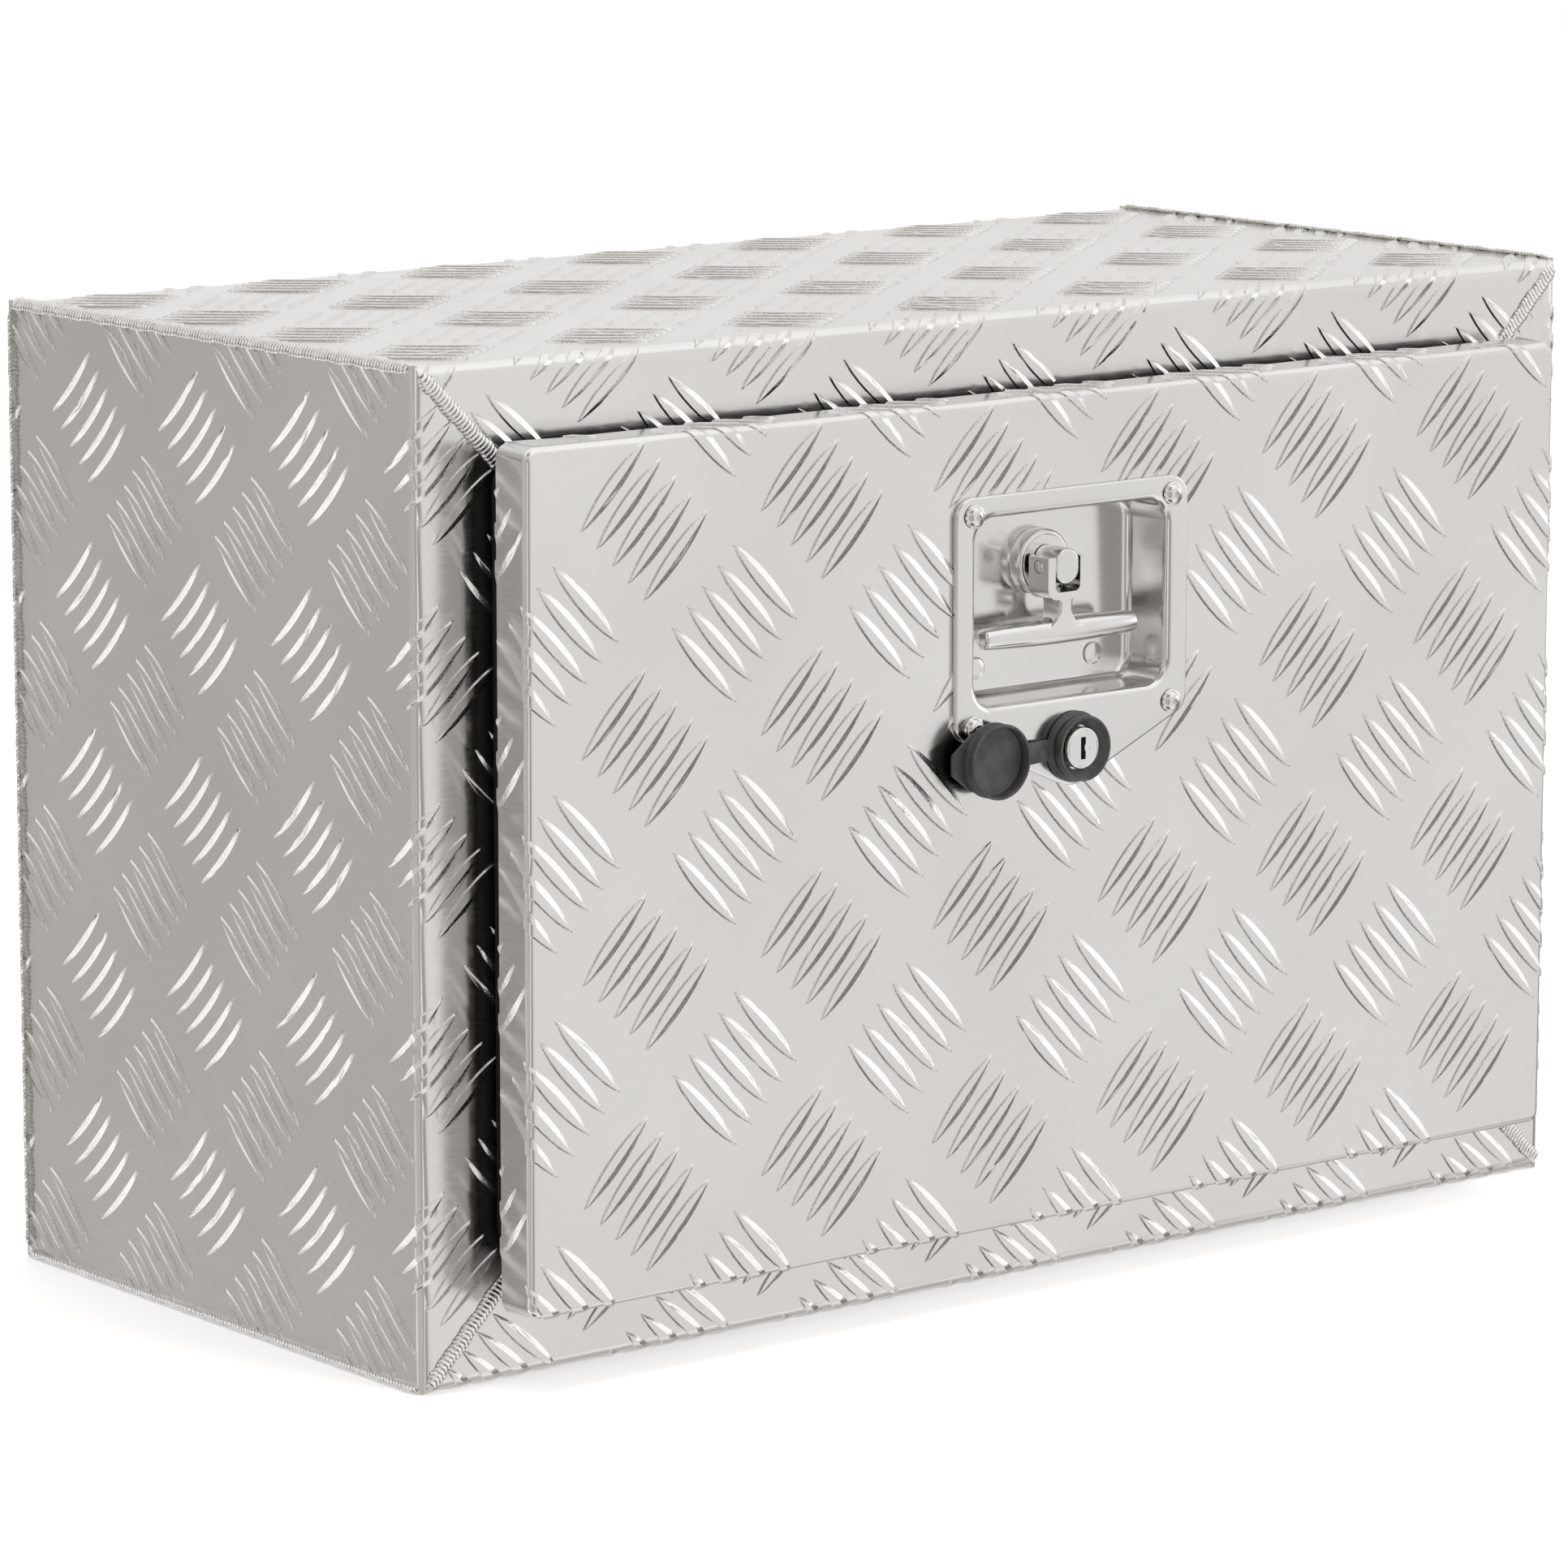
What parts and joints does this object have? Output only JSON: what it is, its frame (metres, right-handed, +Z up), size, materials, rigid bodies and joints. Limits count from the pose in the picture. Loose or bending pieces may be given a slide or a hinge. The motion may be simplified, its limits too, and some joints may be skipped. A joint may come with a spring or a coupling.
{
  "type": "truck tool box",
  "caption": "Underbody tool box of bright tread plate, with a drop-down front door, a folding T-handle latch in a recessed dish, and a capped key lock.",
  "frame": {"origin": "centre of the case's flat underside, which is the face the box stands on or is bolted down by", "axes": "+Z up, +X to the right of a person who faces the door, -Y out of the front, towards that person"},
  "size_m": [0.61, 0.3289, 0.404],
  "materials": {
    "tread_plate": "bright five-bar tread plate, mill-polished",
    "polished_steel": "polished stainless steel",
    "hinge_steel": "plain stainless steel",
    "zinc_plated_steel": "dull zinc plate",
    "black_rubber": "matt black moulded rubber"
  },
  "bodies": {
    "case": {"case_top_back": "tread_plate", "case_bottom": "tread_plate", "case_side_left": "tread_plate", "case_side_right": "tread_plate", "strike_plate": "hinge_steel", "stay_lug_case_left": "zinc_plated_steel", "stay_lug_case_right": "zinc_plated_steel", "hinge_case_leaf": "hinge_steel", "hinge_pin": "hinge_steel", "hinge_case_rivet_1": "hinge_steel", "hinge_case_rivet_2": "hinge_steel", "hinge_case_rivet_3": "hinge_steel", "hinge_case_rivet_4": "hinge_steel", "hinge_case_rivet_5": "hinge_steel"},
    "door": {"door_panel": "tread_plate", "door_seal": "black_rubber", "hinge_door_leaf": "hinge_steel", "hinge_door_rivet_1": "hinge_steel", "hinge_door_rivet_2": "hinge_steel", "hinge_door_rivet_3": "hinge_steel", "hinge_door_rivet_4": "hinge_steel", "hinge_door_rivet_5": "hinge_steel", "stay_lug_door_left": "zinc_plated_steel", "stay_lug_door_right": "zinc_plated_steel", "latch_dish": "polished_steel", "latch_screw_1": "polished_steel", "latch_screw_2": "polished_steel", "latch_screw_3": "polished_steel", "latch_screw_4": "polished_steel", "latch_nut_1": "zinc_plated_steel", "latch_nut_2": "zinc_plated_steel", "latch_nut_3": "zinc_plated_steel", "latch_nut_4": "zinc_plated_steel", "spindle_bush": "polished_steel", "latch_back_plate": "zinc_plated_steel", "dish_rivet_1": "polished_steel", "dish_rivet_2": "polished_steel", "lock_housing": "polished_steel", "lock_ring_nut": "zinc_plated_steel", "lock_boot": "black_rubber"},
    "latch_spindle": {"spindle": "polished_steel", "handle_pin": "polished_steel", "latch_bar": "zinc_plated_steel", "latch_bar_washer": "zinc_plated_steel", "latch_bar_nut": "zinc_plated_steel"},
    "handle": {"t_handle": "polished_steel"},
    "key_plug": {"lock_plug": "polished_steel", "lock_tongue": "zinc_plated_steel", "lock_tongue_nut": "zinc_plated_steel"},
    "lock_cap": {"dust_cap": "black_rubber"}
  },
  "joints": [
    {"name": "door_hinge", "type": "hinge", "parent": "case", "child": "door", "pos_m": [0, -0.1473, 0.0332], "axis": [1, 0, 0], "range_deg": [0, 90]},
    {"name": "handle_turn", "type": "hinge", "parent": "door", "child": "latch_spindle", "pos_m": [0, -0.143, 0.3017], "axis": [0, 1, 0], "range_deg": [0, 55]},
    {"name": "handle_fold", "type": "hinge", "parent": "latch_spindle", "child": "handle", "pos_m": [0, -0.165, 0.3017], "axis": [-1, 0, 0], "range_deg": [0, 90]},
    {"name": "key_turn", "type": "hinge", "parent": "door", "child": "key_plug", "pos_m": [0, -0.143, 0.2282], "axis": [0, -1, 0], "range_deg": [0, 90]},
    {"name": "cap_flip", "type": "hinge", "parent": "door", "child": "lock_cap", "pos_m": [-0.0235, -0.18195, 0.2282], "axis": [0, 0, 1], "range_deg": [0, 180]}
  ]
}
